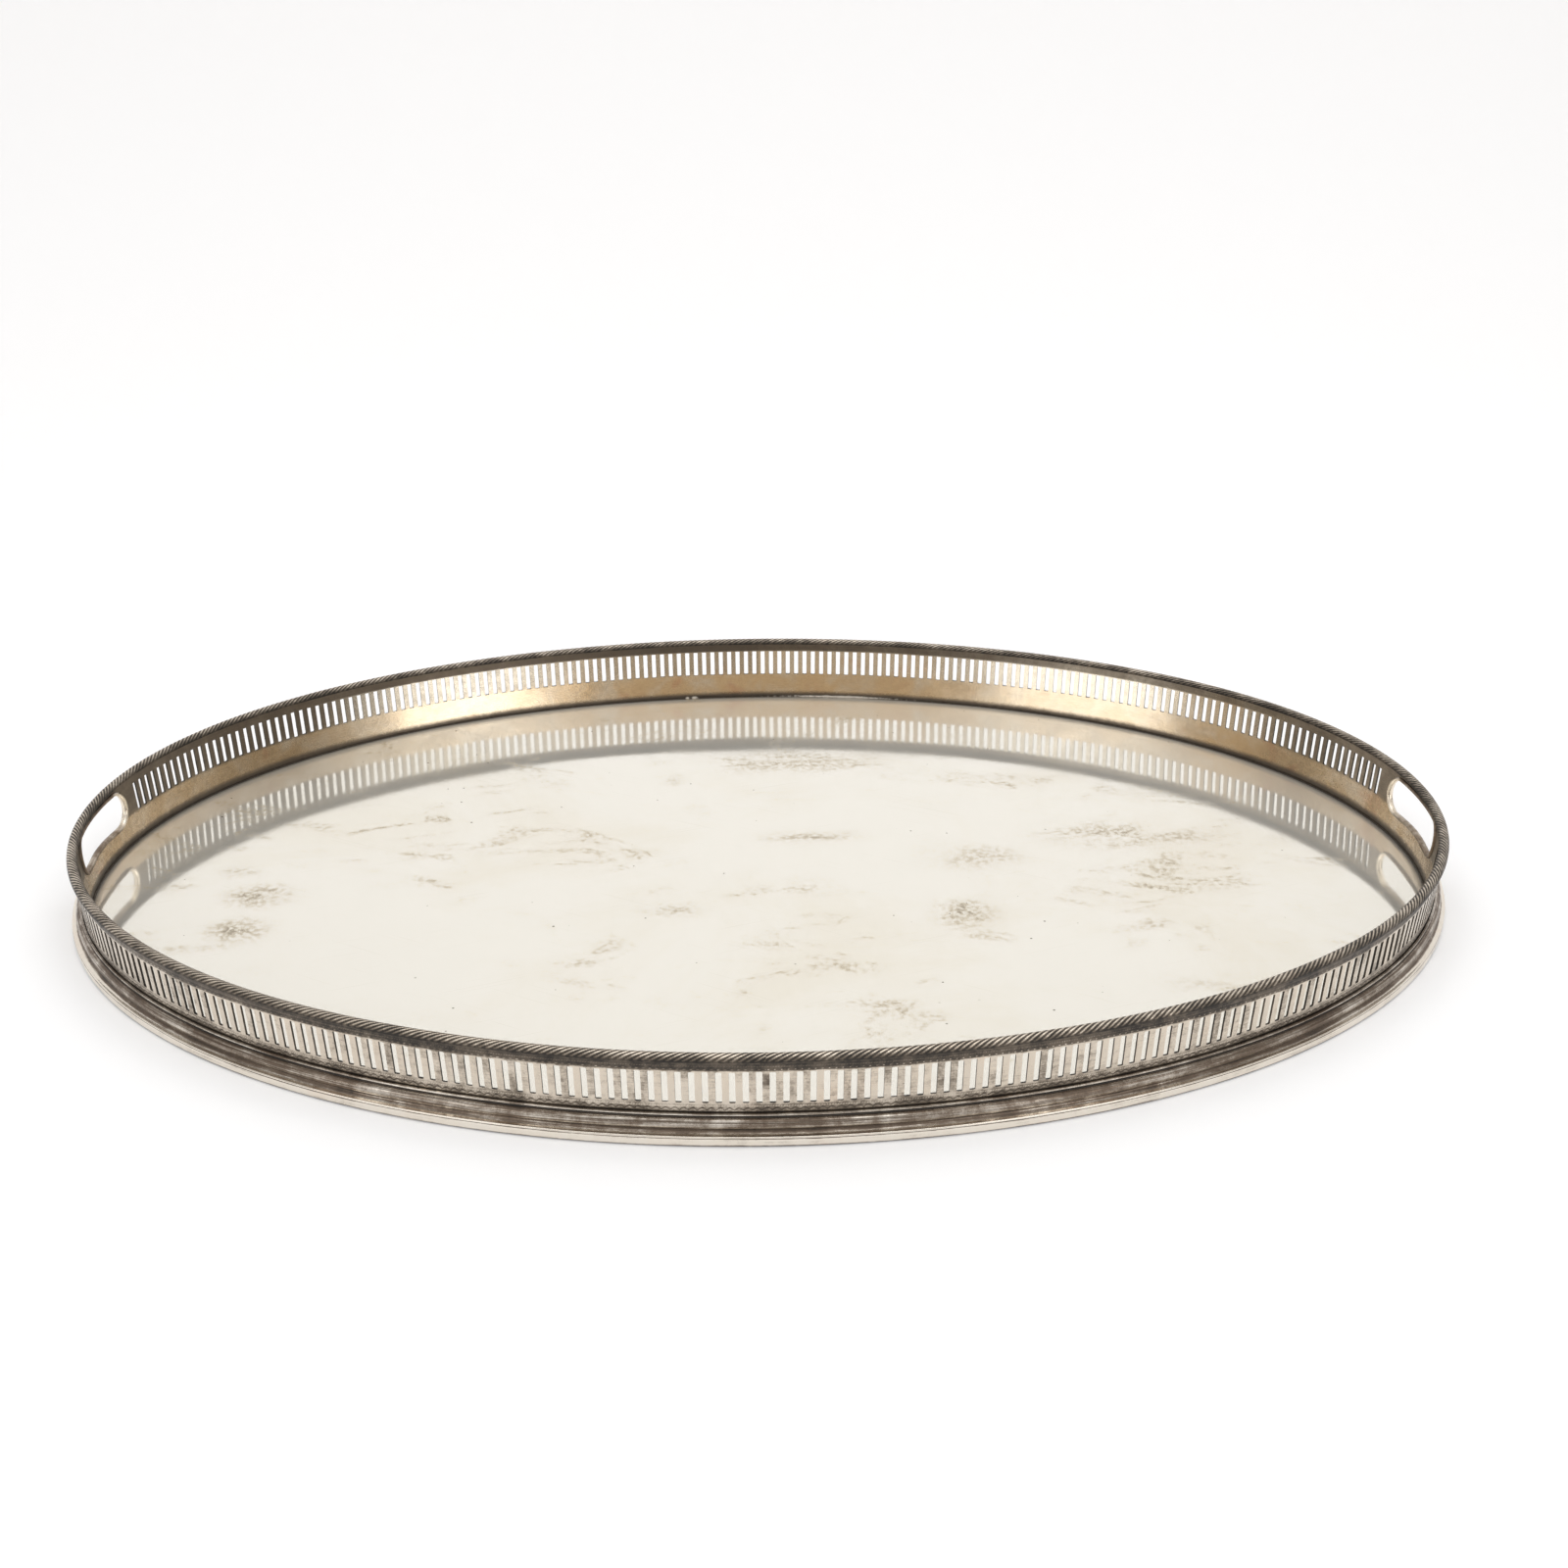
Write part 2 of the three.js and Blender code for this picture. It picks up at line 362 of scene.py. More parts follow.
def wriggle_cut(along, height):
    """How deep the graver cut a scalloped line at a point, from 0 to 1."""
    wave = np.abs(np.cos(math.pi * along / WRIGGLE_PERIOD))
    line = WRIGGLE_MIDDLE - WRIGGLE_HALF_HEIGHT + 2 * WRIGGLE_HALF_HEIGHT * wave
    return near_line(height - line, 0.3)


def slot_place(along):
    """The distance from the middle of the nearest slot."""
    fold = np.minimum(along, half_length - along)
    number = np.clip(np.floor(fold / SLOT_PITCH), 0, SLOTS_PER_QUARTER - 1)
    return fold - (number + 0.5) * SLOT_PITCH


def uneven_slots(along, height, seed):
    """Moves the points on slot edges a little, as a piercing saw leaves them."""
    random = np.random.default_rng(seed)
    place = slot_place(along)
    edge = np.abs(np.abs(place) - SLOT_WIDTH / 2) < 0.01
    bottom = np.abs(height - SLOT_BOTTOM) < 0.01
    top = np.abs(height - SLOT_TOP) < 0.01
    in_slot = np.abs(place) < SLOT_WIDTH / 2 + 0.01
    fold_sign = np.where(along < half_length / 2, 1, -1)
    tall = (height > SLOT_BOTTOM - 0.01) & (height < SLOT_TOP + 0.01)
    shake = random.uniform(-SAW_SHAKE, SAW_SHAKE, along.shape)
    corner = edge & (bottom | top)
    sideways = np.where(edge & tall, shake, 0)
    sideways = np.where(corner, sideways - CORNER_CUT * np.sign(place) * fold_sign, sideways)
    number = np.round((along - SLOT_PITCH / 2) / SLOT_PITCH).astype(int)
    lift_of_slot = random.uniform(-SLOT_END_SHIFT, SLOT_END_SHIFT, (2, number.max() + 1))
    upright = np.where(in_slot & bottom, lift_of_slot[0][number], 0)
    upright = np.where(in_slot & top, lift_of_slot[1][number], upright)
    upright = np.where(corner & bottom, upright + CORNER_CUT, upright)
    upright = np.where(corner & top, upright - CORNER_CUT, upright)
    return along + sideways, height + upright


def outer_grime_and_painted_light(around, height, cut, dot_highlights, tone):
    """Darkening of the outside of the gallery: darker under the border and by the foot, dark with
    tarnish in the graver's cuts, and lighter on each punched dot and the upper line as a painted
    highlight.
    """
    # darker in a band just under the border and next to the foot top
    under_border = smooth(height, SLOT_TOP + 0.1, SLOT_TOP + 0.9)
    above_foot = 1 - smooth(height, foot_top + 0.2, foot_top + 1.0)
    lower_band = 1 - smooth(height, SLOT_BOTTOM - 1.2, SLOT_BOTTOM + 0.6)
    own_tone = 0.15 * tone * (1 - under_border) * (1 - lower_band)
    grime_and_painted_light = 0.20 + own_tone + 0.62 * under_border + 0.27 * lower_band
    grime_and_painted_light = np.maximum(grime_and_painted_light, 0.85 * above_foot)
    burnt = smooth(height, 20.6, 21.6) * (1 - smooth(height, 26.4, 27.4))
    burnt = burnt * (np.abs(around - half_length) < BURN_HALF_WIDTH)
    # each punched dot and the upper line are lightened here: a painted highlight
    return np.maximum(grime_and_painted_light + 0.5 * cut - 1.3 * dot_highlights, 0.55 * burnt)


def inner_darkening(around, height):
    """Darker on the inside: along the plate, under the border, and more towards the ends."""
    from_back = np.minimum(around, 2 * half_length - around)
    left = (around > half_length).astype(float)
    ends = left * smooth(from_back, 203, 258) + (1 - left) * smooth(from_back, 238, 310)
    bright = (1 - left) * smooth(from_back, 110, 170) * (1 - smooth(from_back, 250, 300))
    # darker low on the wall, next to the plate
    corner = 1 - smooth(height, plate_top + 0.3, plate_top + 1.7)
    upper = smooth(height, SLOT_TOP - 0.6, SLOT_TOP + 0.8)
    middle = smooth(height, SLOT_BOTTOM - 1.2, SLOT_BOTTOM + 1.0)
    grime_and_painted_light = 0.07 + 0.30 * ends
    grime_and_painted_light = grime_and_painted_light + middle * (0.02 + 0.22 * np.maximum(left, ends * 0.7))
    grime_and_painted_light = np.maximum(grime_and_painted_light, upper * (0.60 + 0.06 * left - 0.08 * bright - 0.12 * ends))
    return np.maximum(grime_and_painted_light, 0.95 * corner)


def gallery_half(turned):
    shape = Shape()
    columns = gallery_columns()
    outline = hole_outline(WIRE_HALF_WIDTH, 120)
    grids = {}
    for side in ("outer", "inner"):
        rows = gallery_rows(side == "outer")
        along, height = np.meshgrid(columns, rows, indexing="ij")
        around = along + (half_length if turned else 0)
        moved, lifted = along, height
        facing = -1.0 if turned else 1.0
        wave = WALL_RIPPLE * ripple_round(along, height * facing, 11, 70, 14) * smooth(height, 2, 8)
        if side == "outer":
            moved, lifted = uneven_slots(along, height, 12 + turned)
            cut = wriggle_cut(moved, height)
            half_pitch = SLOT_PITCH / 2
            nearest = np.round(moved / half_pitch) * half_pitch
            dot = near_line(moved - nearest, 0.35) * near_line(height - DOT_ROW, 0.2)
            beat = np.arange(len(columns))[:, None] % 2
            fine_dot = beat * near_line(height - FINE_DOT_ROW, 0.2)
            upper = beat * near_line(height - UPPER_LINE, 0.2)
            depth = WRIGGLE_DEPTH * cut + DOT_DEPTH * dot
            depth = depth + FINE_DOT_DEPTH * fine_dot + UPPER_LINE_DEPTH * upper
            out = wall_outer(lifted) - depth - 0.12 + wave * 0.8
            slat = np.round(along / SLOT_PITCH).astype(int)
            tones = np.random.default_rng(14 + turned).uniform(-1, 1, slat.max() + 1)
            # painted highlight on each punched dot in both rows and on the upper line
            dot_highlights = dot + 0.35 * fine_dot + 0.25 * upper
            grime_and_painted_light = outer_grime_and_painted_light(around, height, cut, dot_highlights, tones[slat])
            heat = 0.15 + 0 * height
        else:
            out = wall_inner(lifted) + 0.05 + wave * 0.8
            grime_and_painted_light = inner_darkening(around, height)
            from_back = np.minimum(around, 2 * half_length - around)
            glow = smooth(from_back, 70, 150) * (1 - smooth(from_back, 215, 260))
            heat = 1.0 - 0.5 * glow - 0.45 * smooth(height, SLOT_BOTTOM - 1, SLOT_BOTTOM + 3)
        points = oval_points(moved, out, lifted)
        numbers = shape.add_points(points, along, grime_and_painted_light, heat, 1.0 if side == "inner" else 0.0)
        centre_along = (columns[:-1] + columns[1:]) / 2
        centre_height = (rows[:-1] + rows[1:]) / 2
        middle = np.stack(np.meshgrid(centre_along, centre_height, indexing="ij"), axis=-1)
        level = (middle[..., 1] > SLOT_BOTTOM) & (middle[..., 1] < SLOT_TOP)
        keep = ~(level & (np.abs(slot_place(middle[..., 0])) < SLOT_WIDTH / 2))
        keep &= ~inside(middle - np.array([half_length / 2, 0]), outline)
        shape.add_sheet(numbers, flip=side == "outer", keep=keep)
        grids[side] = (rows, numbers, keep)
    rows, outer, keep = grids["outer"]
    inner_rows, inner, _ = grids["inner"]
    match = np.array([int(np.argmin(np.abs(inner_rows - row))) for row in rows])
    first = int(np.flatnonzero(np.isclose(rows, SLOT_BOTTOM - 0.6))[0])
    last = int(np.flatnonzero(np.isclose(rows, DOT_ROW - 0.25))[0])
    # the sawn edges: upright ones between two columns of cells, then level ones between two rows
    i, j = np.nonzero(keep[:-1, first:last] != keep[1:, first:last])
    j, column = j + first, i + 1
    upright = (outer[column, j], outer[column, j + 1])
    upright += (inner[column, match[j + 1]], inner[column, match[j]])
    add_edges(shape, upright, keep[i, j])
    i, j = np.nonzero(keep[:, first : last - 1] != keep[:, first + 1 : last])
    row = j + first + 1
    level = (outer[i, row], inner[i, match[row]])
    level += (inner[i + 1, match[row]], outer[i + 1, row])
    add_edges(shape, level, ~keep[i, row - 1])
    # the top, the bottom and the two seam ends
    shape.add_quads(outer[:-1, -1], outer[1:, -1], inner[1:, -1], inner[:-1, -1])
    shape.add_quads(outer[:-1, 0], inner[:-1, 0], inner[1:, 0], outer[1:, 0])
    shape.add_polygon(np.concatenate([outer[0, :], inner[0, ::-1]]))
    shape.add_polygon(np.concatenate([outer[-1, ::-1], inner[-1, :]]))
    return shape


def add_edges(shape, corners, forward):
    """Quads across the wall's thickness, turned round where forward is false."""
    for chosen in (forward, ~forward):
        picked = [corner[chosen] for corner in corners]
        if chosen is not forward:
            picked.reverse()
        shape.add_quads(*picked, cut=1.0)


# ---------- hand hole edge ----------


WIRE_STEPS = 220
WIRE_SIDES = 14


def wire_half(turned):
    """The bound edge of a hand hole, dark but for one end, which is lightened as a painted highlight."""
    shape = Shape()
    seed = 22 if turned else 21
    path = hole_outline(WIRE_HALF_WIDTH, WIRE_STEPS)
    tangent = np.roll(path, -1, axis=0) - np.roll(path, 1, axis=0)
    outward = np.stack([tangent[:, 1], -tangent[:, 0]], axis=1)
    outward /= np.linalg.norm(outward, axis=1, keepdims=True)
    turn = np.linspace(0, 2 * math.pi, WIRE_SIDES, endpoint=False)
    place = np.arange(WIRE_STEPS)[:, None] * 1.0
    bulge = 0.97 + 0.03 * ripple(place, turn * 8, seed, 60, 12)
    offset = WIRE_HALF_WIDTH * np.cos(turn) * bulge
    depth = WIRE_HALF_DEPTH * np.sin(turn) * bulge
    across = path[:, :1] + outward[:, :1] * offset
    height = path[:, 1:] + outward[:, 1:] * offset
    out = wall_outer(height) - WALL_THICKNESS / 2 + depth
    along = half_length / 2 - across
    facing = (depth < 0).astype(float)
    # painted highlight: one end of the edge is lightened
    end_stretch = smooth(-across if turned else across, 18, 27)
    grime_and_painted_light = 0.56 - 0.5 * end_stretch + 0.3 * smooth(offset, 0.2, 0.9)
    grime_and_painted_light = grime_and_painted_light + 0.12 * ripple(place, offset * 3, seed + 2, 40, 6)
    numbers = shape.add_points(oval_points(along, out, height), along, grime_and_painted_light, 0.3, facing)
    closed = np.concatenate([numbers, numbers[:1]], axis=0)
    closed = np.concatenate([closed, closed[:, :1]], axis=1)
    shape.add_sheet(closed, flip=False)
    return shape


# ---------- gadroon border ----------

RIDGE_SPACING = 2.7
RIDGE_TWIST = 3.7  # how far a ridge travels along for each radian round the border
RIDGE_DEPTH = 0.46
SEAM_WEAR = 17.0  # the worn stretch of ridges ends this far from the front seam
BORDER_SIDES = 17
BORDER_STEP = 0.29
SKIN = 0.02  # the visible skin lies this far inside the CAD surface


def border_half(turned):
    """The ridged half-round; the ridges near the front seam are worn nearly smooth."""
    shape = Shape()
    columns = np.linspace(0, half_length, int(half_length / BORDER_STEP))
    turn = np.linspace(0, math.pi, BORDER_SIDES)
    along, angle = np.meshgrid(columns, turn, indexing="ij")
    level = 9 * angle
    drift = 0.3 * ripple_round(along, 0 * along, 31, 90, 25)
    phase = (along + RIDGE_TWIST * angle + drift) / RIDGE_SPACING
    crest = np.abs(np.sin(math.pi * phase)) ** 0.8
    wear = 0.78 + 0.3 * ripple_round(along, level, 33, 60, 12)
    if not turned:
        end_stretch = smooth(along, half_length - SEAM_WEAR - 3, half_length - SEAM_WEAR)
        end_stretch = end_stretch * (1 - smooth(along, half_length - 7, half_length - 4))
        wear = wear * (1 - 0.75 * end_stretch)
    wear = np.clip(wear, 0.15, 1)
    fade = np.sin(angle) ** 0.5
    depth = RIDGE_DEPTH * wear * fade * (1 - crest)
    reach = BORDER_HALF_WIDTH - SKIN - depth
    shoulder = border_top - BORDER_HALF_WIDTH
    out = reach * np.cos(angle)
    height = shoulder + reach * np.sin(angle)
    # the ridge crests are lightened: partly worn bright, partly a painted highlight
    worn_crest_and_painted_highlight = smooth(crest, 0.62, 0.98)
    indoors = smooth(angle, 1.5, 2.3)
    grime_and_painted_light = 0.97 - (0.72 - 0.16 * indoors) * worn_crest_and_painted_highlight * fade - 0.12 * crest * fade
    top = shape.add_points(oval_points(along, out, height), along, grime_and_painted_light, 0.15, angle / math.pi)
    base_out = np.array([BORDER_HALF_WIDTH - SKIN, -BORDER_HALF_WIDTH + SKIN])
    along, out = np.meshgrid(columns, base_out, indexing="ij")
    base = shape.add_points(oval_points(along, out, border_bottom + 0 * out), along, 0.8, 0.1, 0.5)
    ring = np.concatenate([base[:, :1], top, base[:, 1:], base[:, :1]], axis=1)
    shape.add_sheet(ring, flip=True)
    shape.add_polygon(ring[0, :-1])
    shape.add_polygon(ring[-1, -2::-1])
    return shape


# ---------- foot moulding ----------

FOOT_COLUMNS = 320
LEDGE = 4.15


def quadratic(start, control, end, steps):
    t = np.linspace(0, 1, steps + 1)[:-1, None]
    start, control, end = (np.array(p, float) for p in (start, control, end))
    return (1 - t) ** 2 * start + 2 * (1 - t) * t * control + t**2 * end


def foot_section():
    """The outline in (out, height), from the inner bottom corner out and up to the seat."""
    outer = FOOT_OUT - SKIN
    seat = wall_outer(foot_top) + CLEARANCE
    heel = wall_outer(0) + CLEARANCE
    return np.concatenate(
        [
            [[heel, foot_low[2]], [1.2, foot_low[2]]],
            quadratic((3.5, foot_low[2]), (outer, 0.15), (outer, 1.3), 7),
            [[outer, 1.3], [outer + SKIN, 2.1], [outer - 0.03, 3.05]],
            quadratic((outer - 0.1, 3.25), (outer - 0.45, 3.4), (outer - 0.12, 3.55), 4),
            quadratic((outer - 0.12, 3.55), (outer - 0.02, LEDGE + 0.05), (outer - 0.6, LEDGE), 5),
            quadratic((outer - 0.6, LEDGE), (2.1, LEDGE + 0.1), (1.85, 5.6), 9),
            [[1.85, 5.6], [2.15, 5.75], [2.25, 6.0]],
            quadratic((2.25, 6.0), (3.0, 8.6), (1.15, 9.25), 12),
            [[1.15, 9.25], [0.55, 9.35]],
            quadratic((0.5, 9.5), (0.35, 9.9), (0.6, 10.25), 4),
            quadratic((0.6, 10.25), (0.62, foot_top), (0.2, foot_top), 4),
            [[seat, foot_top]],
        ]
    )


def foot_darkening_and_painted_light(height):
    """Dark in the hollows of the moulding, lightened along its edges as a painted highlight, and
    darkened at the heel as a painted contact shadow.
    """
    groove = np.exp(-(((height - 9.65) / 0.42) ** 2))
    lower_groove = np.exp(-(((height - 5.75) / 0.28) ** 2))
    cove = smooth(height, 4.25, 4.7) * (1 - smooth(height, 5.6, 6.0))
    thin_line = np.exp(-(((height - 3.38) / 0.13) ** 2))
    # painted contact shadow: the bottom of the outer band is darkened where the foot meets the floor
    heel = 1 - smooth(height, 0.35, 1.1)
    round_band = smooth(height, 6.0, 6.6) * (1 - smooth(height, 8.9, 9.3))
    upper = 0.36 * smooth(height, 4.2, 4.5)
    # painted highlights: the edges of the moulding are lightened
    edges = 0
    for edge, spread in ((4.17, 0.10), (6.15, 0.14), (9.28, 0.10), (10.3, 0.10)):
        edges = edges + np.exp(-(((height - edge) / spread) ** 2))
    dirt_and_painted_light = 0.10 + upper - 0.34 * edges + 0.75 * groove + 0.5 * lower_groove
    dirt_and_painted_light = dirt_and_painted_light + 0.2 * cove + 0.7 * thin_line + 0.75 * heel
    return dirt_and_painted_light + 0.06 * round_band


def foot_half():
    shape = Shape()
    section = foot_section()
    columns = np.linspace(0, half_length, FOOT_COLUMNS)
    along, out = np.meshgrid(columns, section[:, 0], indexing="ij")
    height = np.broadcast_to(section[:, 1], along.shape)
    free = smooth(height, 0.1, 1.5) * smooth(out, -0.2, 1.0)
    dent = 0.05 * ripple_round(along, height * 2, 41, 120, 20)
    out = out - free * (0.05 + dent)
    grime_and_painted_light = foot_darkening_and_painted_light(height)
    numbers = shape.add_points(oval_points(along, out, height), along, grime_and_painted_light, 0.14, 0.0)
    ring = np.concatenate([numbers, numbers[:, :1]], axis=1)
    shape.add_sheet(ring, flip=True)
    shape.add_polygon(numbers[0])
    shape.add_polygon(numbers[-1, ::-1])
    return shape


# ---------- plate and the solder round it ----------

PLATE_RINGS = 70
PLATE_SPOKES = 420
PLATE_SWELL = 0.10
SOLDER_COLUMNS = 1100

# Old stains on the plate: middle (x, y), half length, half width and strength.
STAINS = (
    (-220, -56, 13, 9, 1.0),
    (-218, -25, 15, 10, 0.85),
    (-233, -2, 12, 8, 0.4),
    (24, 26, 22, 6, 0.8),
    (84, -50, 14, 12, 0.95),
    (168, 24, 40, 13, 0.8),
    (20, 112, 46, 12, 0.75),
    (95, 5, 26, 14, 0.45),
    (-40, -42, 16, 8, 0.6),
    (185, -108, 26, 8, 0.4),
)


def stain_field(x, y):
    """How strongly a point is stained, from 0 to 1."""
    total = 0 * x
    for middle_x, middle_y, long, wide, strength in STAINS:
        far = ((x - middle_x) / long) ** 2 + ((y - middle_y) / wide) ** 2
        total = np.maximum(total, strength * np.exp(-far))
    return total


def plate_piece(seed):
    """The flat sheet: rings of quads round a fan of triangles, on both faces, and a rim."""
    shape = Shape()
    angle = np.linspace(0, 2 * math.pi, PLATE_SPOKES, endpoint=False)
    share = np.linspace(0, 1, PLATE_RINGS + 1)[1:] ** 0.8
    edge = wall_inner(plate_bottom) - CLEARANCE
    normal = np.stack([np.cos(angle) / semi_length, np.sin(angle) / semi_width], axis=1)
    normal /= np.linalg.norm(normal, axis=1, keepdims=True)
    rim = np.stack([semi_length * np.cos(angle), semi_width * np.sin(angle)], axis=1) + edge * normal
    flat = share[None, :, None] * rim[:, None, :]
    x, y = flat[..., 0], flat[..., 1]
    swell = PLATE_SWELL * ripple(x, y, seed, 260, 60) - PLATE_SWELL
    numbers = {}
    for side, level, lift in (("top", plate_top, swell), ("bottom", plate_bottom, swell + 0.2)):
        height = level + lift * (1 - share[None, :] ** 6)
        points = np.stack([x, y, height + 0 * x], axis=-1)
        # the top face is darkened in a narrow band at the rim, next to the wall
        dirt_and_painted_light = 0.9 * smooth(share[None, :], 0.988, 1) if side == "top" else 0.3 + 0 * x
        numbers[side] = shape.add_points(points, x, dirt_and_painted_light, stain_field(x, y), 0.0)
        centre = shape.add_points(np.array([[0.0, 0.0, level + lift[0, 0]]]), 0.0)
        ring = np.concatenate([numbers[side], numbers[side][:1]], axis=0)
        shape.add_sheet(ring, flip=side == "bottom")
        for spoke in range(PLATE_SPOKES):
            fan = [centre[0], ring[spoke, 0], ring[spoke + 1, 0]]
            shape.add_polygon(fan if side == "top" else fan[::-1])
    top = np.concatenate([numbers["top"][:, -1], numbers["top"][:1, -1]])
    bottom = np.concatenate([numbers["bottom"][:, -1], numbers["bottom"][:1, -1]])
    shape.add_quads(bottom[:-1], bottom[1:], top[1:], top[:-1])
    return shape


def solder_half(seed, thick_places):
    """The bead of solder in the corner between the plate and the wall, with a few lumps."""
    shape = Shape()
    columns = np.linspace(0, half_length, SOLDER_COLUMNS)
    turn = np.linspace(0, math.pi / 2, 6)
    along, angle = np.meshgrid(columns, turn, indexing="ij")
    size = 0.62 + 0.22 * ripple(along, 0 * along, seed, 40, 5)
    smear = np.zeros_like(size)
    for place, length, swell in thick_places:
        bump = np.exp(-(((along - place) / length) ** 2))
        size = size + swell * bump
        smear = smear + bump
    size = size * (1 + 0.12 * ripple(along, angle * 4, seed + 5, 12, 2.5))
    corner_out = wall_inner(plate_top) + 0.06
    corner_height = plate_top - 0.06
    out = corner_out - size * 1.25 * (1 - np.sin(angle))
    height = corner_height + size * (1 - np.cos(angle))
    dirt_and_painted_light = 1.0 - 0.75 * np.clip(smear, 0, 1)
    face = shape.add_points(oval_points(along, out, height), along, dirt_and_painted_light, 0.0, 1.0)
    root = np.full((len(columns), 1), corner_out)
    deep = shape.add_points(
        oval_points(columns[:, None], root, corner_height - 0.1 + 0 * root), columns[:, None], 1.0
    )
    ring = np.concatenate([face, deep, face[:, :1]], axis=1)
    shape.add_sheet(ring, flip=False)
    shape.add_polygon(ring[0, -2::-1])
    shape.add_polygon(ring[-1, :-1])
    return shape


# ---------- materials ----------

SILVER = (0.86, 0.82, 0.74, 1)
STRAW = (0.82, 0.60, 0.36, 1)
COPPER = (0.72, 0.42, 0.25, 1)
BROWN = (0.20, 0.145, 0.10, 1)
SOOT = (0.030, 0.026, 0.022, 1)


def put(tree, kind, inputs=None, **settings):
    """Adds a shader node; an input is a value or another node's output."""
    item = tree.nodes.new("ShaderNode" + kind)
    for key, value in settings.items():
        setattr(item, key, value)
    for key, value in (inputs or {}).items():
        if isinstance(value, bpy.types.NodeSocket):
            tree.links.new(value, item.inputs[key])
        else:
            item.inputs[key].default_value = value
    return item


class Finish:
    """A material under construction, with short names for the nodes that it uses often."""

    def __init__(self, name):
        self.material = bpy.data.materials.new(name)
        self.material.use_nodes = True
        self.tree = self.material.node_tree
        self.tree.nodes.clear()
        self.place = put(self.tree, "TexCoord").outputs["Object"]
        self.strip = put(self.tree, "Attribute", attribute_name="strip").outputs["Vector"]

    def field(self, name):
        return put(self.tree, "Attribute", attribute_name=name).outputs["Fac"]

    def split(self, vector):
        parts = put(self.tree, "SeparateXYZ", {0: vector}).outputs
        return parts["X"], parts["Y"], parts["Z"]

    def stretch(self, vector, x, y, z):
        inputs = {"Vector": vector, "Scale": (x, y, z)}
        return put(self.tree, "Mapping", inputs).outputs["Vector"]

    def noise(self, vector, scale, detail=3.0, roughness=0.55, distortion=0.0):
        inputs = {"Vector": vector, "Scale": scale, "Detail": detail}
        inputs.update({"Roughness": roughness, "Distortion": distortion})
        return put(self.tree, "TexNoise", inputs).outputs["Fac"]

    def rise(self, value, start, end, low=0.0, high=1.0):
        inputs = {"Value": value, "From Min": start, "From Max": end, "To Min": low, "To Max": high}
        item = put(self.tree, "MapRange", inputs, interpolation_type="SMOOTHSTEP", clamp=True)
        return item.outputs["Result"]

    def crossed(self, vector, angle, across, along):
        """A vector turned about Z by an angle and then stretched."""
        inputs = {"Vector": vector, "Rotation": (0, 0, angle)}
        turned = put(self.tree, "Mapping", inputs).outputs["Vector"]
        return self.stretch(turned, across, along, 1)

    def maths(self, operation, first, second=0.0, third=0.0):
        item = put(self.tree, "Math", {0: first, 1: second, 2: third}, operation=operation)
        return item.outputs["Value"]

    def blend(self, share, first, second):
        item = put(self.tree, "Mix", data_type="RGBA")
        for key, value in ((0, share), (6, first), (7, second)):
            if isinstance(value, bpy.types.NodeSocket):
                self.tree.links.new(value, item.inputs[key])
            else:
                item.inputs[key].default_value = value
        return item.outputs[2]

    def close(self, colour, roughness, metallic, height, strength, distance):
        bump = put(self.tree, "Bump", {"Height": height, "Strength": strength, "Distance": distance})
        inputs = {"Base Color": colour, "Roughness": roughness, "Metallic": metallic}
        inputs["Normal"] = bump.outputs["Normal"]
        shader = put(self.tree, "BsdfPrincipled", inputs)
        put(self.tree, "OutputMaterial", {"Surface": shader.outputs["BSDF"]})
        return self.material


def worn_silver(name, outside, inside, patina, polish, patch, fleck, streak, inside_share=1.0):
    """Silver plate with patina where the dirt field is high, broken up by patches and streaks; the field
    also carries painted highlights and a painted contact shadow.

    outside and inside are the clean colours, polish is the roughness where it is clean, and
    patch, fleck and streak say how uneven the patina is, times inside_share on the inside.
    """
    f = Finish(name)
    inner = f.split(f.strip)[2]
    patches = f.noise(f.place, 55.0, 5.0, 0.62, 0.5)
    mottle = f.noise(f.place, 330.0, 4.0, 0.62, 0.3)
    flecks = f.noise(f.place, 1300.0, 2.0, 0.6)
    streaks = f.noise(f.stretch(f.strip, 30, 1700, 9), 1.0, 4.0, 0.62)
    dirt_and_painted_light = f.maths("MULTIPLY_ADD", f.field("cut"), 0.55, f.field("dirt_and_painted_light"))
    uneven = 0.0
    for value, amount in ((patches, patch), (mottle, fleck), (flecks, fleck / 2), (streaks, streak)):
        uneven = f.maths("ADD", uneven, f.rise(value, 0.28, 0.72, -amount, amount))
    dirt_and_painted_light = f.maths("MULTIPLY_ADD", uneven, f.rise(inner, 0.0, 1.0, 1.0, inside_share), dirt_and_painted_light)
    warm = f.maths("MULTIPLY", f.field("warm"), f.rise(patches, 0.25, 0.6, 0.45, 1.0))
    colour = f.blend(inner, outside, inside)
    colour = f.blend(warm, colour, STRAW)
    rosy = f.noise(f.place, 34.0, 3.0, 0.6, 0.8)
    rosy = f.maths("MULTIPLY", f.rise(rosy, 0.56, 0.70, 0.0, 0.6), f.field("warm"))
    colour = f.blend(rosy, colour, COPPER)
    colour = f.blend(f.rise(dirt_and_painted_light, 0.10, 0.66), colour, patina)
    colour = f.blend(f.rise(dirt_and_painted_light, 0.60, 1.05), colour, SOOT)
    rough = f.rise(dirt_and_painted_light, 0.0, 1.0, polish, polish + 0.26)
    rough = f.maths("ADD", rough, f.rise(mottle, 0.3, 0.7, -0.03, 0.05))
    metallic = f.rise(dirt_and_painted_light, 0.3, 1.1, 1.0, 0.55)
    height = f.maths("ADD", f.maths("ADD", flecks, streaks), mottle)
    return f.close(colour, rough, metallic, height, 0.22, 0.00012)


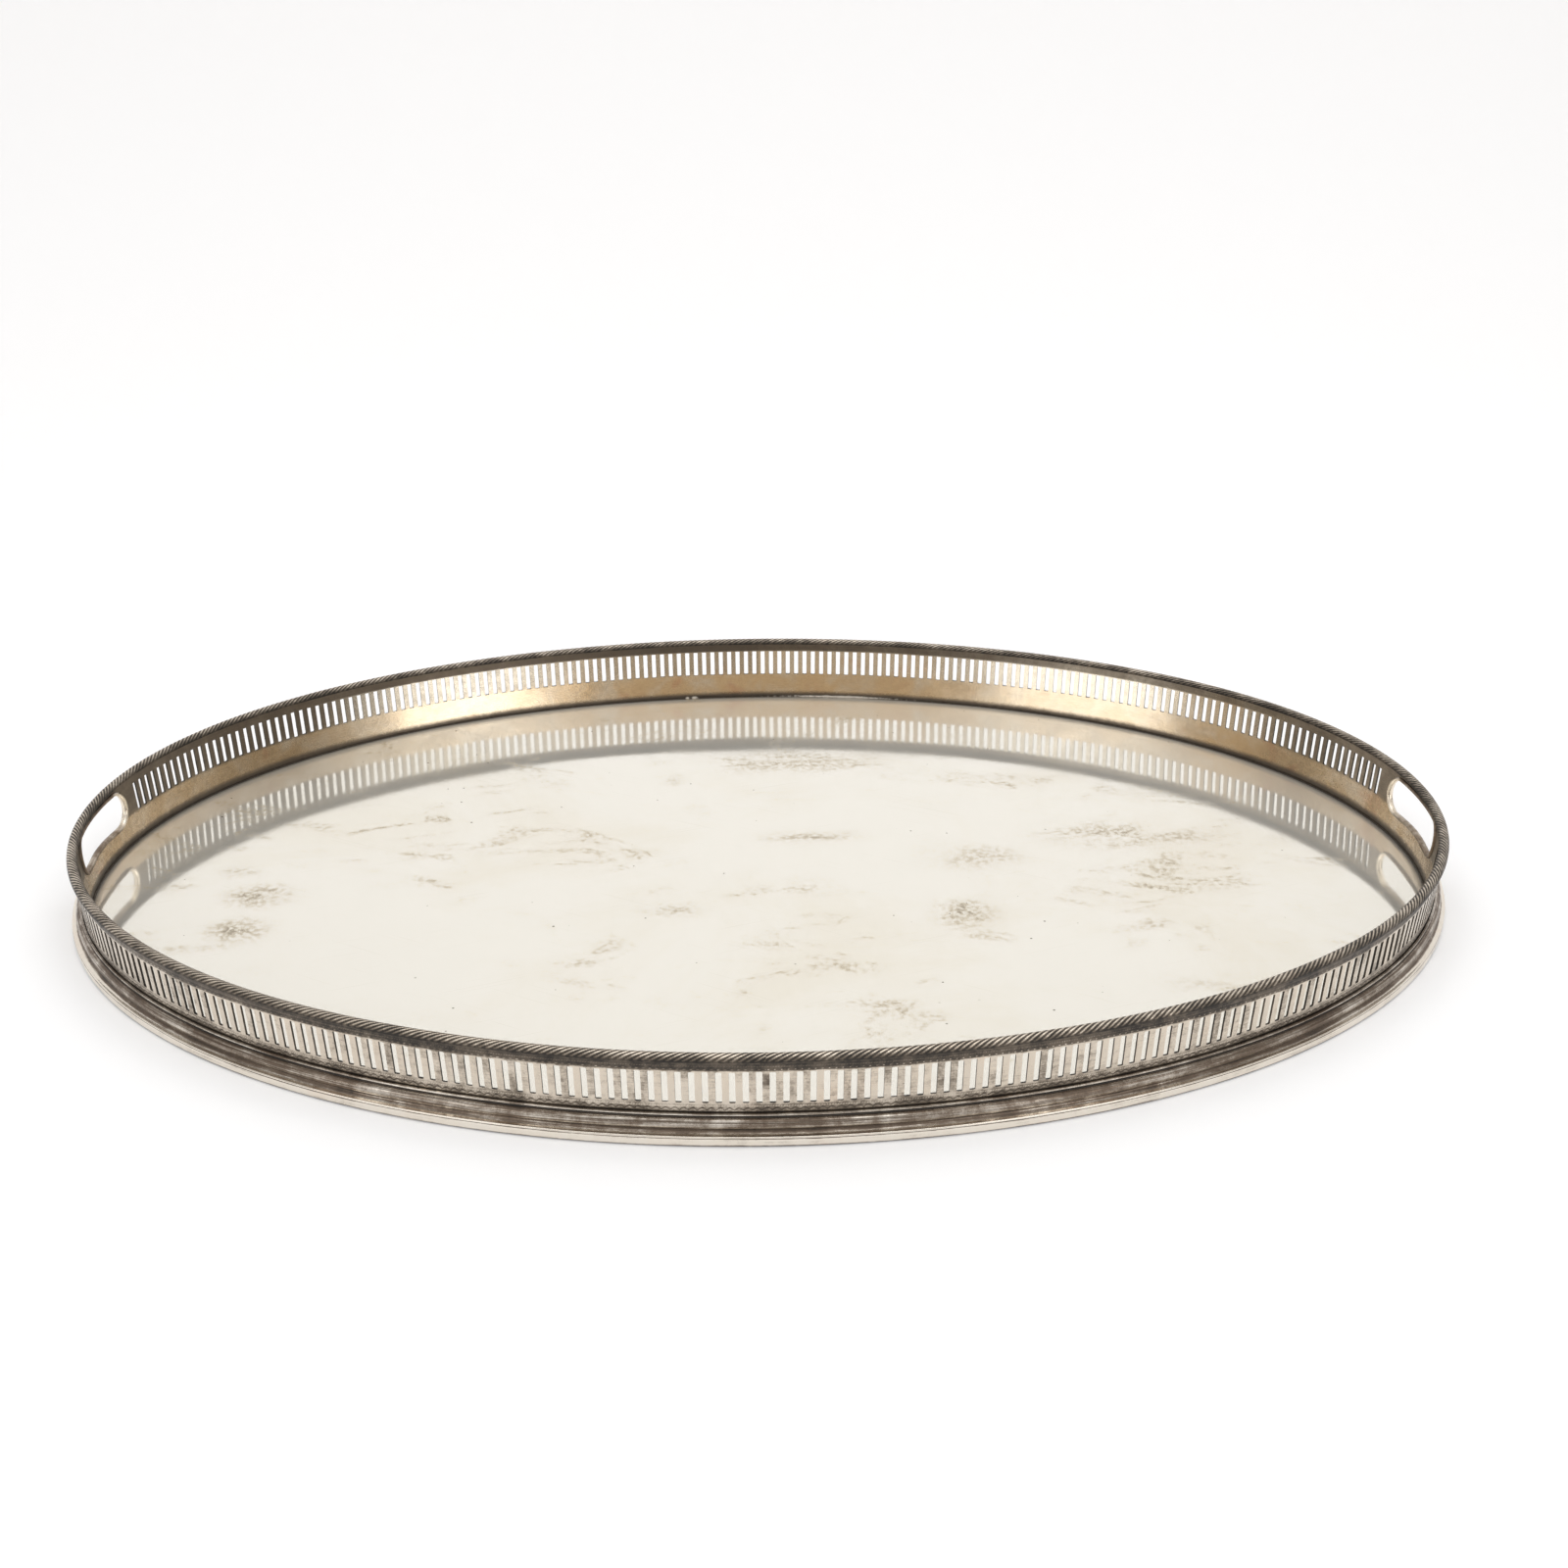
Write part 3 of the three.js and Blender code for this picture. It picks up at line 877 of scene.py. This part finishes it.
def plate_silver():
    """The polished plate: hazed silver with tarnish clouds, stains, pits and fine scratches."""
    f = Finish("plate_worn_silver")
    clouds = f.noise(f.place, 8.0, 6.0, 0.62, 0.6)
    wisps = f.noise(f.stretch(f.place, 16, 34, 1), 1.0, 9.0, 0.72, 1.0)
    grain = f.noise(f.place, 420.0, 4.0, 0.7)
    stain = f.maths("MULTIPLY", f.field("warm"), f.rise(wisps, 0.36, 0.60, 0.15, 1.0))
    stain = f.maths("MULTIPLY", stain, f.rise(grain, 0.38, 0.63, 0.2, 1.0))
    scuff = f.maths("MULTIPLY", f.rise(wisps, 0.49, 0.68), f.rise(clouds, 0.40, 0.59, 0.12, 1.0))
    scuff = f.maths("MULTIPLY", scuff, f.rise(grain, 0.38, 0.64, 0.1, 1.0))
    mark = f.maths("MAXIMUM", f.maths("MULTIPLY", scuff, 0.50), f.maths("MULTIPLY", stain, 0.80))
    cells = put(f.tree, "TexVoronoi", {"Vector": f.place, "Scale": 125.0}, feature="F1").outputs
    pick, size, _ = f.split(cells["Color"])
    edge = f.rise(size, 0.1, 1.0, 0.020, 0.070)
    spot = f.maths("LESS_THAN", cells["Distance"], edge)
    spot = f.maths("MULTIPLY", spot, f.rise(pick, 0.35, 0.80, 0.0, 0.85))
    scratch = f.rise(f.noise(f.crossed(f.place, 0.5, 14, 1500), 1.0, 2.0), 0.68, 0.74, 0.0, 0.20)
    second = f.rise(f.noise(f.crossed(f.place, -0.35, 18, 1700), 1.0, 2.0), 0.68, 0.74, 0.0, 0.20)
    scratch = f.maths("MAXIMUM", scratch, second)
    dirt_and_painted_light = f.field("dirt_and_painted_light")
    haze = f.rise(clouds, 0.44, 0.68, 0.0, 0.5)
    colour = f.blend(haze, (0.90, 0.872, 0.795, 1), (0.83, 0.775, 0.645, 1))
    colour = f.blend(f.rise(mark, 0.0, 0.32, 0.0, 0.75), colour, (0.60, 0.52, 0.37, 1))
    colour = f.blend(f.rise(mark, 0.15, 0.85), colour, (0.17, 0.125, 0.085, 1))
    colour = f.blend(scratch, colour, (0.50, 0.45, 0.36, 1))
    colour = f.blend(spot, colour, (0.12, 0.095, 0.07, 1))
    colour = f.blend(dirt_and_painted_light, colour, SOOT)
    rough = f.rise(clouds, 0.3, 0.7, 0.045, 0.085)
    rough = f.maths("MULTIPLY_ADD", mark, 0.45, rough)
    metallic = f.rise(mark, 0.0, 0.6, 0.65, 0.35)
    fine = f.noise(f.stretch(f.place, 60, 1400, 1), 1.0, 3.0, 0.6)
    return f.close(colour, rough, metallic, f.maths("ADD", fine, grain), 0.05, 0.00004)


def solder_metal():
    """Dull grey solder, nearly black where it is thin."""
    f = Finish("solder_dull")
    lumps = f.noise(f.stretch(f.strip, 500, 900, 3), 1.0, 3.0, 0.6)
    dirt_and_painted_light = f.maths("ADD", f.field("dirt_and_painted_light"), f.rise(lumps, 0.3, 0.7, -0.2, 0.15))
    colour = f.blend(f.rise(dirt_and_painted_light, 0.25, 0.9), (0.50, 0.46, 0.40, 1), (0.045, 0.034, 0.024, 1))
    return f.close(colour, f.rise(lumps, 0.3, 0.7, 0.35, 0.55), 0.8, lumps, 0.4, 0.0002)


# ---------- the pieces ----------

GREY_PATINA = (0.150, 0.122, 0.095, 1)
FOOT_PATINA = (0.155, 0.115, 0.085, 1)
gallery_silver = worn_silver(
    "gallery_worn_silver",
    outside=(0.66, 0.60, 0.52, 1),
    inside=(0.86, 0.80, 0.70, 1),
    patina=GREY_PATINA,
    polish=0.17,
    patch=0.14,
    fleck=0.10,
    streak=0.08,
    inside_share=0.22,
)
border_silver = worn_silver(
    "border_worn_silver",
    outside=(0.70, 0.63, 0.54, 1),
    inside=(0.66, 0.61, 0.53, 1),
    patina=GREY_PATINA,
    polish=0.24,
    patch=0.16,
    fleck=0.10,
    streak=0.02,
)
foot_silver = worn_silver(
    "foot_worn_silver",
    outside=(0.84, 0.80, 0.73, 1),
    inside=SILVER,
    patina=FOOT_PATINA,
    polish=0.11,
    patch=0.13,
    fleck=0.05,
    streak=0.17,
)
wire_silver = worn_silver(
    "wire_worn_silver",
    outside=SILVER,
    inside=SILVER,
    patina=BROWN,
    polish=0.24,
    patch=0.10,
    fleck=0.06,
    streak=0.04,
)

gallery_shapes = {"right": gallery_half(False), "left": gallery_half(True)}
show_halves("gallery_strip", gallery_shapes, gallery_silver)
wire_shapes = {"right": wire_half(False), "left": wire_half(True)}
show_halves("handle_edge_wire", wire_shapes, wire_silver, 80)
border_shapes = {"right": border_half(False), "left": border_half(True)}
show_halves("gadroon_border", border_shapes, border_silver, 60)
foot_shapes = {"right": foot_half(), "left": foot_half()}
show_halves("foot_moulding", foot_shapes, foot_silver, 30)
show(plate_piece(51).make("tray_plate_worn"), ["tray_plate"], plate_silver())
solder = solder_metal()
# thick places in the solder: (distance along the half, length, swell)
thick = {
    "right": [(45.0, 28.0, 0.35)],
    "left": [(half_length - 36.0, 1.6, 0.7), (half_length - 40.0, 1.0, 0.5)],
}
for side, turned in (("right", False), ("left", True)):
    mesh = solder_half(61 + turned, thick[side]).make(f"plate_solder_{side}", turned)
    show(mesh, [], solder, 80)

# ---------- stage ----------


def studio():
    """A paper sweep, the room round it, and soft lamps."""
    scene = bpy.context.scene
    paper = Finish("sweep_paper")
    fibre = paper.noise(paper.place, 300.0, 2.0)
    colour = paper.blend(fibre, (0.86, 0.86, 0.865, 1), (0.88, 0.88, 0.885, 1))
    sweep_material = paper.close(colour, 0.9, 0.0, fibre, 0.02, 0.0002)
    shader = next(n for n in paper.tree.nodes if n.type == "BSDF_PRINCIPLED")
    shader.inputs["Emission Color"].default_value = (1, 1, 1, 1)
    shader.inputs["Emission Strength"].default_value = 0.165
    shader.inputs["Specular IOR Level"].default_value = 0.0
    front, bend_start, radius, top, half_wide = -1.6, 0.42, 0.5, 2.4, 2.2
    profile = [(front, 0.0), (bend_start, 0.0)]
    for step in range(1, 25):
        angle = math.pi / 2 * step / 24
        profile.append((bend_start + radius * math.sin(angle), radius * (1 - math.cos(angle))))
    profile.append((bend_start + radius, top))
    points = [(x, y, z) for y, z in profile for x in (-half_wide, half_wide)]
    faces = [(2 * i, 2 * i + 1, 2 * i + 3, 2 * i + 2) for i in range(len(profile) - 1)]
    mesh = bpy.data.meshes.new("paper_sweep")
    mesh.from_pydata(points, [], faces)
    mesh.shade_smooth()
    mesh.materials.append(sweep_material)
    sweep = bpy.data.objects.new("paper_sweep", mesh)
    scene.collection.objects.link(sweep)

    world = bpy.data.worlds.new("studio_room")
    world.use_nodes = True
    tree = world.node_tree
    tree.nodes.clear()
    way = put(tree, "TexCoord").outputs["Generated"]
    parts = put(tree, "SeparateXYZ", {0: way}).outputs
    span = {"From Min": -0.15, "From Max": 0.45, "To Min": 0.0, "To Max": 1.0}
    back = put(tree, "MapRange", {"Value": parts["Y"], **span}, interpolation_type="SMOOTHSTEP")
    span = {"From Min": 0.25, "From Max": 0.85, "To Min": 0.0, "To Max": 1.0}
    above = put(tree, "MapRange", {"Value": parts["Z"], **span}, interpolation_type="SMOOTHSTEP")
    light = put(tree, "Math", {0: back.outputs[0], 1: above.outputs[0]}, operation="MAXIMUM")
    mix = put(tree, "Mix", {0: light.outputs[0]}, data_type="RGBA")
    mix.inputs[6].default_value = (0.36, 0.33, 0.30, 1)
    mix.inputs[7].default_value = (1.0, 1.0, 1.0, 1)
    background = put(tree, "Background", {"Color": mix.outputs[2], "Strength": 0.95})
    put(tree, "OutputWorld", {"Surface": background.outputs[0]})
    scene.world = world

    lamp("top_softbox", (0.1, 0.0, 1.9), (0, 0.05, 0), 1.6, 1.6, 8.0)
    lamp("left_softbox", (-1.25, -1.35, 0.62), (0.12, 0.1, 0.02), 1.0, 0.9, 4.0)
    lamp("right_softbox", (1.1, -1.46, 0.6), (-0.12, 0.1, 0.02), 0.8, 0.8, 4.2)


def lamp(name, place, target, wide, tall, watts):
    data = bpy.data.lights.new(name, "AREA")
    data.shape = "RECTANGLE"
    data.size, data.size_y = wide, tall
    data.energy = watts
    item = bpy.data.objects.new(name, data)
    item.location = place
    item.rotation_euler = (Vector(target) - Vector(place)).to_track_quat("-Z", "Y").to_euler()
    item.visible_camera = False
    bpy.context.scene.collection.objects.link(item)


CAMERA_TURN = (1.003, 24.276, -0.263)  # yaw, pitch down and roll in degrees
CAMERA_PLACE = (-0.00233, -0.71333, 0.36255)  # metres
CAMERA_LENS = 40.684


def camera():
    yaw, pitch, roll = (math.radians(value) for value in CAMERA_TURN)
    ahead = Vector((math.sin(yaw) * math.cos(pitch), math.cos(yaw) * math.cos(pitch), -math.sin(pitch)))
    level = Vector((math.cos(yaw), -math.sin(yaw), 0))
    right = math.cos(roll) * level + math.sin(roll) * level.cross(ahead)
    up = right.cross(ahead)
    data = bpy.data.cameras.new("camera")
    data.sensor_width = 36.0
    data.lens = CAMERA_LENS
    item = bpy.data.objects.new("camera", data)
    turn = Matrix((right, up, -ahead)).transposed()
    item.matrix_world = Matrix.Translation(CAMERA_PLACE) @ turn.to_4x4()
    bpy.context.scene.collection.objects.link(item)
    bpy.context.scene.camera = item


studio()
camera()
bpy.context.scene.view_settings.view_transform = "Standard"
